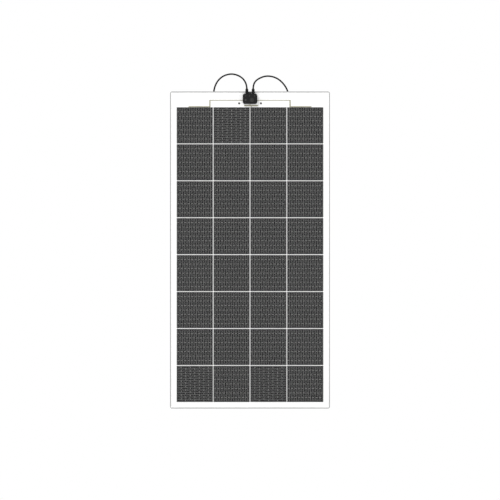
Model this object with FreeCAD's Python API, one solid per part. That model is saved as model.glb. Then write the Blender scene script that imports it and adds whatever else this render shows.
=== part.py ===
"""Flexible solar sheet: a bendable laminate of 4 by 8 solar cells with a junction box and two leads.

Millimetres. The sheet stands in the XZ plane and its front looks along -Y. The origin is on the flat rear
face, at the sheet's centre. Depths are counted from the rear face towards the front, so Y = -depth.
"""
import FreeCAD, Part
import math
import os

V = FreeCAD.Vector

# ---------------------------------------------------------------- cells and sheet
CELL = 156.0
COLUMNS = 4
ROWS = 8
COLUMN_GAP = 2.5
ROW_GAP = 3.0
SIDE_MARGIN = 28.25
TOP_MARGIN = 68.0
BOTTOM_MARGIN = 28.0
SHEET_CORNER = 8.0
RIM = 4.0                       # clear sealed rim round the white backsheet
SLIT = 0.4                      # bending gap between two strips

# ---------------------------------------------------------------- laminate stack
BACKSHEET_THICK = 0.8
REAR_ENCAPSULANT = 0.4          # under the cells
CELL_THICK = 0.2
WIRE_THICK = 0.15
FRONT_ENCAPSULANT = 0.25        # over the wires
FILM_THICK = 0.2

# ---------------------------------------------------------------- collector wires on the cells
WIRES = 21
WIRE_MARGIN = 3.0               # from a cell's edge to its outer wires
WIRE_WIDTH = 0.6
TURNED_CELLS = ((1, 2), (8, 1), (8, 3))     # (row, column) whose wires run across to the next column

# ---------------------------------------------------------------- ribbons in the top margin
RIBBON_THICK = 0.2
CROSS_RIBBON_WIDTH = 3.0
CROSS_RIBBON_DROP = 38.0        # below the sheet's top edge
RISER_WIDTH = 5.0
RISER_X = 172.5
COLLECTOR_HEIGHT = 4.0
COLLECTOR_GAP = 0.5
COLLECTOR_LENGTH = 92.0
TAP_LENGTH = 60.0
TAP_HEIGHT = 5.0
TAP_DROP = 58.5                 # top of the centre tap below the sheet's top edge
TAP_STEM_WIDTH = 3.0
TAP_STEM_X = 5.0

# ---------------------------------------------------------------- junction box
BOX_WIDTH = 62.4
BOX_HEIGHT = 44.7
BOX_DROP = 9.2                  # from the sheet's top edge to the box's top
BOX_CORNER = 9.0
BOX_WALL = 2.2
BOX_FLOOR = 1.5
PAD_THICK = 0.5
PAD_INSET = 1.5
LID_THICK = 3.8
LID_HOLLOW = 2.0
LID_CLEAR = 0.2
LID_EDGE = 1.2
GASKET_WIDTH = 1.0
GASKET_DEPTH = 1.0
GASKET_PROUD = 0.15
WINDOW_WIDTH = 6.0              # slots that let the ribbons up into the box
WINDOW_HEIGHT = 6.0
RING_X = 8.0                    # raised ring on the lid
RING_DROP = 27.3
RING_RADIUS = 8.0
RING_WIDTH = 1.6
RING_HEIGHT = 0.5
RING_STUD_RADIUS = 3.0
DIMPLE_RADIUS = 2.2
DIMPLE_DEPTH = 0.5
DIMPLE_DROP = 10.0
DIMPLE_XS = (-19.0, -2.6, 20.0)
ROUND_MARK_X = -19.0
ROUND_MARK_RADIUS = 4.0
NOTCH_WIDTH = 14.0              # finger notch in the lid's lower edge
NOTCH_HEIGHT = 1.6
NOTCH_DEPTH = 1.6

# ---------------------------------------------------------------- lid hinge
HINGE_RISE = 3.7                # above the box's top wall
HINGE_FORWARD = 2.0             # in front of the box's rim
HINGE_RADIUS = 2.4
HINGE_PIN_RADIUS = 1.0
HINGE_CLEAR = 0.05
HINGE_EAR = 2.4
HINGE_BARREL = 8.0
HINGE_SIDE_GAP = 0.3
HINGE_WEB = 3.0

# ---------------------------------------------------------------- clamps and diodes
CLAMP_WIDTH = 8.0
CLAMP_HEIGHT = 8.0
DIODE_RADIUS = 2.0
DIODE_BODY = 3.2
DIODE_WIRE = 0.5

# ---------------------------------------------------------------- glands
GLAND_X = 13.6
GLAND_DEPTH = 9.5               # of the gland's axis from the rear face
NECK_RADIUS = 4.9
NECK_BORE = 3.5
NECK_LENGTH = 12.7
RIM_OVER_NECK = 0.1             # the box's rim stands this far in front of the necks
NUT_CLEAR = 0.05
NUT_GAP = 1.0                   # between the box's top wall and the nut
NUT_RADIUS = 6.5
NUT_LENGTH = 20.7
NUT_MOUTH_RADIUS = 4.6
NUT_CONE = 4.5
NUT_GRIPS = 12
NUT_GRIP_RADIUS = 0.7
SEAL_LENGTH = 10.0
SEAL_PROUD = 4.2
SEAL_CLEAR = 0.05
NUT_SHOULDER_CLEAR = 0.3

# ---------------------------------------------------------------- leads
LEAD_RADIUS = 3.5
LEAD_CORE_RADIUS = 2.0
LEAD_CORE_CLEAR = 0.1
LEAD_MOUTH_CLEAR = 0.3
LEFT_LEAD = ((-13.6, -9.5, 690.2), (-13.6, -9.5, 709.0), (-27.0, -8.2, 736.0), (-52.0, -4.8, 753.0),
             (-82.0, -0.2, 759.0), (-113.0, 4.6, 751.0), (-137.0, 9.0, 732.0), (-152.0, 12.0, 704.0),
             (-157.5, 13.5, 672.0), (-158.5, 14.0, 638.0), (-156.0, 14.0, 603.0), (-151.0, 14.0, 569.0),
             (-151.0, 14.0, 542.0))
RIGHT_LEAD = ((13.6, -9.5, 690.2), (13.6, -9.5, 709.0), (24.5, -8.2, 729.5), (50.0, -4.8, 744.5),
              (77.0, -0.2, 750.0), (108.0, 4.6, 744.0), (134.0, 9.0, 727.5), (157.5, 12.0, 698.0),
              (166.0, 13.5, 668.0), (171.0, 14.0, 634.0), (172.5, 14.0, 599.0), (170.0, 14.0, 565.0),
              (170.0, 14.0, 538.0))

# ---------------------------------------------------------------- connectors
CONN_NUT_RADIUS = 8.4
CONN_NUT_REAR = 12.0            # behind the lead's end
CONN_NUT_FRONT = 7.0            # in front of the lead's end
CONN_NUT_MOUTH_RADIUS = 5.6
CONN_NUT_CONE = 6.0
CONN_NECK_RADIUS = 6.4
CONN_NECK_LENGTH = 8.0
CONN_BODY_RADIUS = 8.2
CONN_BODY_LENGTH = 20.0
CONN_BORE = 2.3
CONTACT_CLEAR = 0.1
SHROUD_RADIUS = 8.2
SHROUD_BORE = 6.7
SHROUD_LENGTH = 20.0
PIN_RADIUS = 1.5
PIN_LENGTH = 15.0
ARM_WIDTH = 4.0
ARM_THICK = 1.4
ARM_GAP = 1.0
ARM_LENGTH = 12.0
NOSE_RADIUS = 6.4
NOSE_LENGTH = 19.0
SLEEVE_RADIUS = 2.9
SLEEVE_BORE = 1.55
SLEEVE_LENGTH = 15.0
CATCH_WIDTH = 5.0
CATCH_DEPTH = 2.0
CATCH_LENGTH = 6.0
RIB_COUNT = 10
RIB_RADIUS = 0.9

# ---------------------------------------------------------------- polarity discs
DISC_RADIUS = 4.0
DISC_THICK = 1.0
DISC_X = 47.0
DISC_DROP = 51.0
SIGN_LENGTH = 4.4
SIGN_WIDTH = 1.1
SIGN_HEIGHT = 0.3

# ---------------------------------------------------------------- worked out from the values above
WIDTH = COLUMNS * CELL + (COLUMNS - 1) * COLUMN_GAP + 2 * SIDE_MARGIN
HEIGHT = ROWS * CELL + (ROWS - 1) * ROW_GAP + TOP_MARGIN + BOTTOM_MARGIN
TOP = HEIGHT / 2
WIRE_PITCH = (CELL - 2 * WIRE_MARGIN) / (WIRES - 1)
CELL_REAR = BACKSHEET_THICK + REAR_ENCAPSULANT
WIRE_REAR = CELL_REAR + CELL_THICK
WIRE_FRONT = WIRE_REAR + WIRE_THICK
FILM_REAR = WIRE_FRONT + FRONT_ENCAPSULANT
SHEET_THICK = FILM_REAR + FILM_THICK
RIBBON_REAR = WIRE_FRONT - RIBBON_THICK
BOX_REAR = SHEET_THICK + PAD_THICK
BOX_FRONT = GLAND_DEPTH + NECK_RADIUS + RIM_OVER_NECK
FLOOR_FRONT = BOX_REAR + BOX_FLOOR
CLAMP_DEPTH = GLAND_DEPTH + LEAD_CORE_RADIUS - FLOOR_FRONT
LID_REAR = BOX_FRONT + LID_CLEAR
LID_FRONT = LID_REAR + LID_THICK
BOX_TOP = TOP - BOX_DROP
BOX_BOTTOM = BOX_TOP - BOX_HEIGHT
HINGE_Z = BOX_TOP + HINGE_RISE
HINGE_DEPTH = BOX_FRONT + HINGE_FORWARD
RIBBON_Z = TOP - CROSS_RIBBON_DROP
CLAMP_BOTTOM = RIBBON_Z - CLAMP_HEIGHT / 2
NECK_TOP = BOX_TOP + NECK_LENGTH
SEAL_TOP = NECK_TOP + SEAL_PROUD
NUT_BOTTOM = BOX_TOP + NUT_GAP
NUT_TOP = NUT_BOTTOM + NUT_LENGTH


# ---------------------------------------------------------------- helpers
def plate(x0, x1, z0, z1, depth0, depth1, corner=0.0):
    """A plate parallel to the sheet, with rounded corners if asked."""
    y = -depth0
    if corner == 0:
        return Part.makeBox(x1 - x0, depth1 - depth0, z1 - z0, V(x0, -depth1, z0))
    k = corner * (1 - math.sqrt(0.5))
    edges = []
    corners = ((x1, z0, -1, 1), (x1, z1, -1, -1), (x0, z1, 1, -1), (x0, z0, 1, 1))
    ends = []
    for i, (cx, cz, sx, sz) in enumerate(corners):
        along_x = V(cx + sx * corner, y, cz)
        along_z = V(cx, y, cz + sz * corner)
        middle = V(cx + sx * k, y, cz + sz * k)
        first, last = (along_x, along_z) if i % 2 == 0 else (along_z, along_x)
        edges.append(Part.Arc(first, middle, last).toShape())
        ends.append((first, last))
    for i in range(4):
        edges.append(Part.LineSegment(ends[i][1], ends[(i + 1) % 4][0]).toShape())
    outline = Part.Wire(Part.__sortEdges__(edges))
    return Part.Face(outline).extrude(V(0, depth0 - depth1, 0))


def upright(radius, x, y, z0, z1):
    """A cylinder along Z."""
    return Part.makeCylinder(radius, z1 - z0, V(x, y, z0))


def crosswise(radius, x0, x1, depth, z):
    """A cylinder along X."""
    return Part.makeCylinder(radius, x1 - x0, V(x0, -depth, z), V(1, 0, 0))


def stud(radius, x, z, depth0, depth1):
    """A cylinder that stands out of the sheet."""
    return Part.makeCylinder(radius, depth1 - depth0, V(x, -depth0, z), V(0, -1, 0))


def join(shapes):
    """Fuse shapes into one solid."""
    result = shapes[0].multiFuse(shapes[1:]).removeSplitter()
    return result.Solids[0] if len(result.Solids) == 1 else result


def save(name, shapes):
    """Write one node: a single solid or a group of separate solids."""
    shape = shapes if isinstance(shapes, Part.Shape) else Part.makeCompound(shapes)
    if not shape.isValid():
        raise RuntimeError(name + " is not valid")
    shape.exportStep("parts/" + name + ".step")
    print(name, "solids", len(shape.Solids), "volume", round(shape.Volume, 1))


# ---------------------------------------------------------------- places on the sheet
def cell_left(column):
    return -WIDTH / 2 + SIDE_MARGIN + (column - 1) * (CELL + COLUMN_GAP)


def cell_top(row):
    return TOP - TOP_MARGIN - (row - 1) * (CELL + ROW_GAP)


def strip_top(row):
    return TOP if row == 1 else cell_top(row) + (ROW_GAP - SLIT) / 2


def strip_bottom(row):
    return -TOP if row == ROWS else cell_top(row) - CELL - (ROW_GAP - SLIT) / 2


def strip_layer(row, depth0, depth1, inset=0.0):
    """One layer of one strip, drawn in from the sheet's outer edges by inset, with the sheet's rounded corners."""
    side = WIDTH / 2 - inset
    band = plate(-side, side, strip_bottom(row), strip_top(row), depth0, depth1)
    if row in (1, ROWS):
        sheet = plate(-side, side, inset - TOP, TOP - inset, depth0, depth1, SHEET_CORNER - inset)
        band = band.common(sheet).Solids[0]
    return band


def wire_ends(row, column):
    """The lowest and highest Z of the upright wires on a cell."""
    low = strip_bottom(row) if row < ROWS else cell_top(row) - CELL
    high = strip_top(row)
    if row == 1:
        high = cell_top(1) + (COLLECTOR_GAP if column in (1, COLUMNS) else 0)
    return low, high


# ---------------------------------------------------------------- laminate pieces
def cell(row, column):
    x = cell_left(column)
    z = cell_top(row)
    return plate(x, x + CELL, z - CELL, z, CELL_REAR, WIRE_REAR)


def wires(row, column):
    """The straight collector wires on the front of one cell."""
    x = cell_left(column)
    low, high = wire_ends(row, column)
    bars = []
    for i in range(WIRES):
        offset = WIRE_MARGIN + i * WIRE_PITCH
        if (row, column) in TURNED_CELLS:
            z = cell_top(row) - offset
            bars.append(plate(x, x + CELL + COLUMN_GAP, z - WIRE_WIDTH / 2, z + WIRE_WIDTH / 2,
                              WIRE_REAR, WIRE_FRONT))
        else:
            bars.append(plate(x + offset - WIRE_WIDTH / 2, x + offset + WIRE_WIDTH / 2, low, high,
                              WIRE_REAR, WIRE_FRONT))
    return bars


def pocket(row, column):
    """The room in the encapsulant for one cell and its wires."""
    x = cell_left(column)
    low, high = wire_ends(row, column)
    if (row, column) in TURNED_CELLS:
        low = cell_top(row) - CELL
        return plate(x, x + CELL + COLUMN_GAP, low, cell_top(row), CELL_REAR, WIRE_FRONT)
    return plate(x, x + CELL, low, high, CELL_REAR, WIRE_FRONT)


def sided(side, near, far, z0, z1, depth0, depth1):
    """A plate between two distances from the sheet's middle, on the left (-1) or the right (1)."""
    start, stop = sorted((side * near, side * far))
    return plate(start, stop, z0, z1, depth0, depth1)


def output_ribbon(side):
    """Collector bar, riser and cross ribbon of one end of the string, up to its clamp."""
    half = CROSS_RIBBON_WIDTH / 2
    bar_low = cell_top(1) + COLLECTOR_GAP
    riser_near = RISER_X - RISER_WIDTH / 2
    riser_far = RISER_X + RISER_WIDTH / 2
    clamp_side = GLAND_X + CLAMP_WIDTH / 2
    collector = sided(side, riser_near, RISER_X + COLLECTOR_LENGTH, bar_low, bar_low + COLLECTOR_HEIGHT,
                      RIBBON_REAR, WIRE_FRONT)
    riser = sided(side, riser_near, riser_far, bar_low, RIBBON_Z + half, RIBBON_REAR, WIRE_FRONT)
    cross = sided(side, clamp_side, riser_far, RIBBON_Z - half, RIBBON_Z + half, RIBBON_REAR, WIRE_FRONT)
    rise = sided(side, clamp_side, clamp_side + RIBBON_THICK, RIBBON_Z - half, RIBBON_Z + half,
                 RIBBON_REAR, FLOOR_FRONT + CLAMP_DEPTH / 2)
    return join([collector, riser, cross, rise])


def centre_tap():
    """The ribbon that joins the middle of the string to the middle clamp."""
    tap_top = TOP - TAP_DROP
    middle = TAP_LENGTH / 2
    half = CROSS_RIBBON_WIDTH / 2
    bar = plate(TAP_STEM_X - middle, TAP_STEM_X + middle, tap_top - TAP_HEIGHT, tap_top,
                RIBBON_REAR, WIRE_FRONT)
    stem = plate(TAP_STEM_X - TAP_STEM_WIDTH / 2, TAP_STEM_X + TAP_STEM_WIDTH / 2, cell_top(1) + COLLECTOR_GAP,
                 tap_top, RIBBON_REAR, WIRE_FRONT)
    link = plate(-half, half, tap_top, CLAMP_BOTTOM, RIBBON_REAR, WIRE_FRONT)
    rise = plate(-half, half, CLAMP_BOTTOM - RIBBON_THICK, CLAMP_BOTTOM, RIBBON_REAR,
                 FLOOR_FRONT + CLAMP_DEPTH / 2)
    return join([bar, stem, link, rise])


def windows(depth0, depth1):
    """The three slots through which the ribbons rise into the box."""
    near = GLAND_X + CLAMP_WIDTH / 2
    half = WINDOW_HEIGHT / 2
    slots = [sided(side, near, near + WINDOW_WIDTH, RIBBON_Z - half, RIBBON_Z + half, depth0, depth1)
             for side in (-1, 1)]
    slots.append(plate(-WINDOW_WIDTH / 2, WINDOW_WIDTH / 2, CLAMP_BOTTOM - WINDOW_HEIGHT, CLAMP_BOTTOM,
                       depth0, depth1))
    return slots


# ---------------------------------------------------------------- junction box pieces
def box_outline(inset, depth0, depth1):
    """A plate with the box's outline, drawn in by inset."""
    return plate(-BOX_WIDTH / 2 + inset, BOX_WIDTH / 2 - inset, BOX_BOTTOM + inset, BOX_TOP - inset,
                 depth0, depth1, BOX_CORNER - inset)


def gasket_ring(depth0, depth1):
    inset = (BOX_WALL - GASKET_WIDTH) / 2
    ring = box_outline(inset, depth0, depth1)
    return ring.cut(box_outline(inset + GASKET_WIDTH, depth0, depth1))


def hinge_ear(x0, x1):
    eye = crosswise(HINGE_RADIUS, x0, x1, HINGE_DEPTH, HINGE_Z)
    foot = plate(x0, x1, BOX_TOP - BOX_WALL / 2, HINGE_Z + HINGE_RADIUS, BOX_FRONT - 2 * HINGE_RADIUS, BOX_FRONT)
    bridge = plate(x0, x1, HINGE_Z - HINGE_RADIUS, HINGE_Z + HINGE_RADIUS, BOX_FRONT - HINGE_RADIUS, HINGE_DEPTH)
    return [eye, foot, bridge]


def box_base():
    body = box_outline(0, BOX_REAR, BOX_FRONT)
    additions = [body]
    for side in (-1, 1):
        additions.append(upright(NECK_RADIUS, side * GLAND_X, -GLAND_DEPTH, BOX_TOP, NECK_TOP))
        near = side * (HINGE_BARREL / 2 + HINGE_SIDE_GAP)
        start, stop = sorted((near, near + side * HINGE_EAR))
        additions.extend(hinge_ear(start, stop))
    shape = join(additions)
    cuts = [box_outline(BOX_WALL, FLOOR_FRONT, BOX_FRONT), gasket_ring(BOX_FRONT - GASKET_DEPTH, BOX_FRONT)]
    cuts.extend(windows(BOX_REAR, FLOOR_FRONT))
    for side in (-1, 1):
        cuts.append(upright(NECK_BORE, side * GLAND_X, -GLAND_DEPTH, BOX_TOP - 2 * BOX_WALL, NECK_TOP))
    reach = HINGE_BARREL / 2 + HINGE_SIDE_GAP + HINGE_EAR
    cuts.append(crosswise(HINGE_PIN_RADIUS + HINGE_CLEAR, -reach, reach, HINGE_DEPTH, HINGE_Z))
    return shape.cut(Part.makeCompound(cuts)).Solids[0]


def box_lid():
    cover = box_outline(0, LID_REAR, LID_FRONT)
    rim = [e for e in cover.Edges if e.BoundBox.YMax < -LID_FRONT + 0.01]
    cover = cover.makeFillet(LID_EDGE, rim)
    half = HINGE_BARREL / 2
    web = plate(-half, half, BOX_TOP - LID_EDGE - HINGE_WEB, HINGE_Z, LID_FRONT - LID_EDGE - HINGE_WEB / 2,
                LID_FRONT - LID_EDGE / 2)
    barrel = crosswise(HINGE_RADIUS, -half, half, HINGE_DEPTH, HINGE_Z)
    mark_z = TOP - RING_DROP - BOX_DROP
    ring = stud(RING_RADIUS, RING_X, mark_z, LID_FRONT - LID_EDGE, LID_FRONT + RING_HEIGHT)
    ring = ring.cut(stud(RING_RADIUS - RING_WIDTH, RING_X, mark_z, LID_FRONT - LID_EDGE, LID_FRONT + RING_HEIGHT))
    knob = stud(RING_STUD_RADIUS, RING_X, mark_z, LID_FRONT - LID_EDGE, LID_FRONT + RING_HEIGHT)
    shape = join([cover, web, barrel, ring, knob])
    cuts = [box_outline(BOX_WALL, LID_REAR, LID_REAR + LID_HOLLOW)]
    cuts.append(crosswise(HINGE_PIN_RADIUS + HINGE_CLEAR, -half, half, HINGE_DEPTH, HINGE_Z))
    for x in DIMPLE_XS:
        cuts.append(stud(DIMPLE_RADIUS, x, BOX_TOP - DIMPLE_DROP, LID_FRONT - DIMPLE_DEPTH, LID_FRONT))
    cuts.append(stud(ROUND_MARK_RADIUS, ROUND_MARK_X, mark_z, LID_FRONT - DIMPLE_DEPTH, LID_FRONT))
    cuts.append(plate(-NOTCH_WIDTH / 2, NOTCH_WIDTH / 2, BOX_BOTTOM, BOX_BOTTOM + NOTCH_HEIGHT,
                      LID_REAR, LID_REAR + NOTCH_DEPTH))
    return shape.cut(Part.makeCompound(cuts)).Solids[0]


def clamp(x):
    """One screw clamp block on the box's floor."""
    return plate(x - CLAMP_WIDTH / 2, x + CLAMP_WIDTH / 2, CLAMP_BOTTOM, CLAMP_BOTTOM + CLAMP_HEIGHT,
                 FLOOR_FRONT, FLOOR_FRONT + CLAMP_DEPTH)


def diode(side):
    """A bypass diode between the middle clamp and an outer one."""
    near = CLAMP_WIDTH / 2
    far = GLAND_X - CLAMP_WIDTH / 2
    start, stop = sorted((side * near, side * far))
    middle = (start + stop) / 2
    depth = FLOOR_FRONT + CLAMP_DEPTH / 2
    body = crosswise(DIODE_RADIUS, middle - DIODE_BODY / 2, middle + DIODE_BODY / 2, depth, RIBBON_Z)
    return join([body, crosswise(DIODE_WIRE, start, stop, depth, RIBBON_Z)])


# ---------------------------------------------------------------- glands, nuts and leads
def grip_nut(x, y, bottom, shoulder, top, radius, mouth_radius, cone, bore, grips, grip_radius):
    """A cap nut along Z: a wide bore up to the shoulder, a lead-sized mouth beyond it, grooves outside."""
    length = top - bottom
    tube = Part.makeCylinder(radius, length - cone, V(x, y, bottom))
    tip = Part.makeCone(radius, mouth_radius, cone, V(x, y, top - cone))
    nut = tube.fuse(tip).removeSplitter()
    holes = [upright(bore, x, y, bottom, shoulder), upright(LEAD_RADIUS + LEAD_MOUTH_CLEAR, x, y, bottom, top)]
    for i in range(grips):
        angle = 2 * math.pi * i / grips
        gx = x + radius * math.cos(angle)
        gy = y + radius * math.sin(angle)
        holes.append(upright(grip_radius, gx, gy, bottom, top - cone))
    return nut.cut(Part.makeCompound(holes)).Solids[0]


def gland_nut(side):
    return grip_nut(side * GLAND_X, -GLAND_DEPTH, NUT_BOTTOM, SEAL_TOP + NUT_SHOULDER_CLEAR, NUT_TOP, NUT_RADIUS,
                    NUT_MOUTH_RADIUS, NUT_CONE, NECK_RADIUS + NUT_CLEAR, NUT_GRIPS, NUT_GRIP_RADIUS)


def gland_seal(side):
    x = side * GLAND_X
    ring = upright(NECK_BORE - SEAL_CLEAR, x, -GLAND_DEPTH, SEAL_TOP - SEAL_LENGTH, SEAL_TOP)
    return ring.cut(upright(LEAD_CORE_RADIUS + LEAD_CORE_CLEAR, x, -GLAND_DEPTH, SEAL_TOP - SEAL_LENGTH, SEAL_TOP))


def lead_path(name, route):
    """Straight runs joined by tangent arcs, each arc as large as its two runs allow."""
    points = [V(*p) for p in route]
    edges = []
    start = points[0]
    radii = []
    for before, corner, after in zip(points, points[1:], points[2:]):
        run_in = (corner - before).normalize()
        run_out = (after - corner).normalize()
        turn = run_in.getAngle(run_out)
        reach = 0.45 * min((corner - before).Length, (after - corner).Length)
        radius = reach / math.tan(turn / 2)
        radii.append(round(radius, 1))
        inward = (run_out - run_in).normalize()
        centre = corner + inward * math.hypot(radius, reach)
        first = corner - run_in * reach
        last = corner + run_out * reach
        edges.append(Part.LineSegment(start, first).toShape())
        edges.append(Part.Arc(first, centre - inward * radius, last).toShape())
        start = last
    edges.append(Part.LineSegment(start, points[-1]).toShape())
    path = Part.Wire(edges)
    print(name, "radii", radii, "length", round(path.Length, 1))
    return path


def lead(name, route):
    """The jacketed lead, and its bare core from the seal down to the clamp."""
    path = lead_path(name, route)
    start = V(*route[0])
    ring = Part.Wire(Part.makeCircle(LEAD_RADIUS, start, V(0, 0, 1)))
    jacket = path.makePipeShell([ring], True, False)
    ideal = math.pi * LEAD_RADIUS ** 2 * path.Length
    print(name, "volume over section times length", round(jacket.Volume / ideal, 5))
    core = upright(LEAD_CORE_RADIUS, start.x, start.y, CLAMP_BOTTOM + CLAMP_HEIGHT, start.z)
    return join([jacket, core])


def connector_nut(route):
    """The clamping nut at a connector's rear, with the lead through it."""
    x, y, z = route[-1]
    return grip_nut(x, y, z - CONN_NUT_FRONT, z + NUT_SHOULDER_CLEAR, z + CONN_NUT_REAR, CONN_NUT_RADIUS,
                    CONN_NUT_MOUTH_RADIUS, CONN_NUT_CONE, CONN_NECK_RADIUS + NUT_CLEAR, RIB_COUNT, RIB_RADIUS)


def pin_housing():
    """The housing with a shroud and two spring arms, on the left lead."""
    x, y, z = LEFT_LEAD[-1]
    body_top = z - CONN_NECK_LENGTH
    body_bottom = body_top - CONN_BODY_LENGTH
    mouth = body_bottom - SHROUD_LENGTH
    solids = [upright(CONN_NECK_RADIUS, x, y, body_top, z), upright(CONN_BODY_RADIUS, x, y, body_bottom, body_top),
              upright(SHROUD_RADIUS, x, y, mouth, body_bottom)]
    for side in (-1, 1):
        inner = SHROUD_RADIUS + ARM_GAP
        start, stop = sorted((side * inner, side * (inner + ARM_THICK)))
        arm = Part.makeBox(ARM_THICK, ARM_WIDTH, SHROUD_LENGTH + ARM_LENGTH,
                           V(x + start, y - ARM_WIDTH / 2, mouth - ARM_LENGTH / 2))
        start, stop = sorted((side * (CONN_BODY_RADIUS - 1), side * (inner + ARM_THICK)))
        root = Part.makeBox(stop - start, ARM_WIDTH, ARM_LENGTH / 2,
                            V(x + start, y - ARM_WIDTH / 2, body_bottom))
        solids.extend([arm, root])
    shape = join(solids)
    shape = shape.cut(upright(SHROUD_BORE, x, y, mouth, body_bottom))
    return shape.cut(upright(CONN_BORE, x, y, body_bottom, z)).Solids[0]


def contact_pin():
    x, y, z = LEFT_LEAD[-1]
    body_bottom = z - CONN_NECK_LENGTH - CONN_BODY_LENGTH
    barrel = upright(CONN_BORE - CONTACT_CLEAR, x, y, body_bottom, z)
    pin = upright(PIN_RADIUS, x, y, body_bottom - PIN_LENGTH, body_bottom)
    return join([barrel, pin])


def socket_housing():
    """The housing with the nose, on the right lead."""
    x, y, z = RIGHT_LEAD[-1]
    body_top = z - CONN_NECK_LENGTH
    body_bottom = body_top - CONN_BODY_LENGTH
    tip = body_bottom - NOSE_LENGTH
    solids = [upright(CONN_NECK_RADIUS, x, y, body_top, z), upright(CONN_BODY_RADIUS, x, y, body_bottom, body_top),
              upright(NOSE_RADIUS, x, y, tip, body_bottom)]
    shape = join(solids)
    cuts = [upright(SLEEVE_RADIUS + CONTACT_CLEAR, x, y, tip, body_bottom), upright(CONN_BORE, x, y, body_bottom, z)]
    for side in (-1, 1):
        start, stop = sorted((side * (CONN_BODY_RADIUS - CATCH_DEPTH), side * (CONN_BODY_RADIUS + 1)))
        cuts.append(Part.makeBox(stop - start, CATCH_WIDTH, CATCH_LENGTH,
                                 V(x + start, y - CATCH_WIDTH / 2, body_bottom + CATCH_LENGTH)))
    return shape.cut(Part.makeCompound(cuts)).Solids[0]


def contact_sleeve():
    x, y, z = RIGHT_LEAD[-1]
    body_bottom = z - CONN_NECK_LENGTH - CONN_BODY_LENGTH
    barrel = upright(CONN_BORE - CONTACT_CLEAR, x, y, body_bottom, z)
    sleeve = upright(SLEEVE_RADIUS, x, y, body_bottom - SLEEVE_LENGTH, body_bottom)
    sleeve = sleeve.cut(upright(SLEEVE_BORE, x, y, body_bottom - SLEEVE_LENGTH, body_bottom))
    return join([barrel, sleeve])


def polarity_disc(side):
    """A moulded disc with a raised plus on the right and a raised minus on the left."""
    x = side * DISC_X
    z = TOP - DISC_DROP
    disc = stud(DISC_RADIUS, x, z, SHEET_THICK, SHEET_THICK + DISC_THICK)
    front = SHEET_THICK + DISC_THICK
    signs = [disc, plate(x - SIGN_LENGTH / 2, x + SIGN_LENGTH / 2, z - SIGN_WIDTH / 2, z + SIGN_WIDTH / 2,
                         front - SIGN_HEIGHT, front + SIGN_HEIGHT)]
    if side > 0:
        signs.append(plate(x - SIGN_WIDTH / 2, x + SIGN_WIDTH / 2, z - SIGN_LENGTH / 2, z + SIGN_LENGTH / 2,
                           front - SIGN_HEIGHT, front + SIGN_HEIGHT))
    return join(signs)


# ---------------------------------------------------------------- make every node
os.makedirs("parts", exist_ok=True)

ribbons = [output_ribbon(-1), output_ribbon(1), centre_tap()]

for row in range(1, ROWS + 1):
    backsheet = strip_layer(row, 0, BACKSHEET_THICK, RIM)
    encapsulant = strip_layer(row, 0, FILM_REAR).cut(backsheet)
    film = strip_layer(row, FILM_REAR, SHEET_THICK)
    rooms = []
    cells = []
    bars = []
    for column in range(1, COLUMNS + 1):
        rooms.append(pocket(row, column))
        cells.append(cell(row, column))
        bars.extend(wires(row, column))
    if row == 1:
        rooms.extend(ribbons)
        rooms.extend(windows(RIBBON_REAR, FILM_REAR))
        film = film.cut(Part.makeCompound(windows(FILM_REAR, SHEET_THICK)))
    encapsulant = encapsulant.cut(rooms)
    save("backsheet_" + str(row), backsheet)
    save("encapsulant_" + str(row), encapsulant.Solids)
    save("cells_row_" + str(row), cells)
    save("wires_row_" + str(row), bars)
    save("front_film_" + str(row), film)

save("bus_ribbons", ribbons)
save("polarity_discs", [polarity_disc(-1), polarity_disc(1)])
pad = box_outline(PAD_INSET, SHEET_THICK, BOX_REAR).cut(Part.makeCompound(windows(SHEET_THICK, BOX_REAR)))
save("adhesive_pad", pad)
save("box_base", box_base())
save("box_lid", box_lid())
save("lid_gasket", gasket_ring(BOX_FRONT - GASKET_DEPTH, BOX_FRONT + GASKET_PROUD))
pin_reach = HINGE_BARREL / 2 + HINGE_SIDE_GAP + HINGE_EAR
save("hinge_pin", crosswise(HINGE_PIN_RADIUS, -pin_reach, pin_reach, HINGE_DEPTH, HINGE_Z))
save("terminal_clamps", [clamp(-GLAND_X), clamp(0), clamp(GLAND_X)])
save("bypass_diodes", [diode(-1), diode(1)])
save("gland_nut_left", gland_nut(-1))
save("gland_nut_right", gland_nut(1))
save("gland_seals", [gland_seal(-1), gland_seal(1)])
save("cable_left", lead("left lead", LEFT_LEAD))
save("cable_right", lead("right lead", RIGHT_LEAD))
save("pin_housing", pin_housing())
save("socket_housing", socket_housing())
save("contact_pin", contact_pin())
save("contact_sleeve", contact_sleeve())
save("connector_nut_left", connector_nut(LEFT_LEAD))
save("connector_nut_right", connector_nut(RIGHT_LEAD))
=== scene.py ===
"""Flexible solar sheet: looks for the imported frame, laid out as a Blender add-on."""

import math

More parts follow.
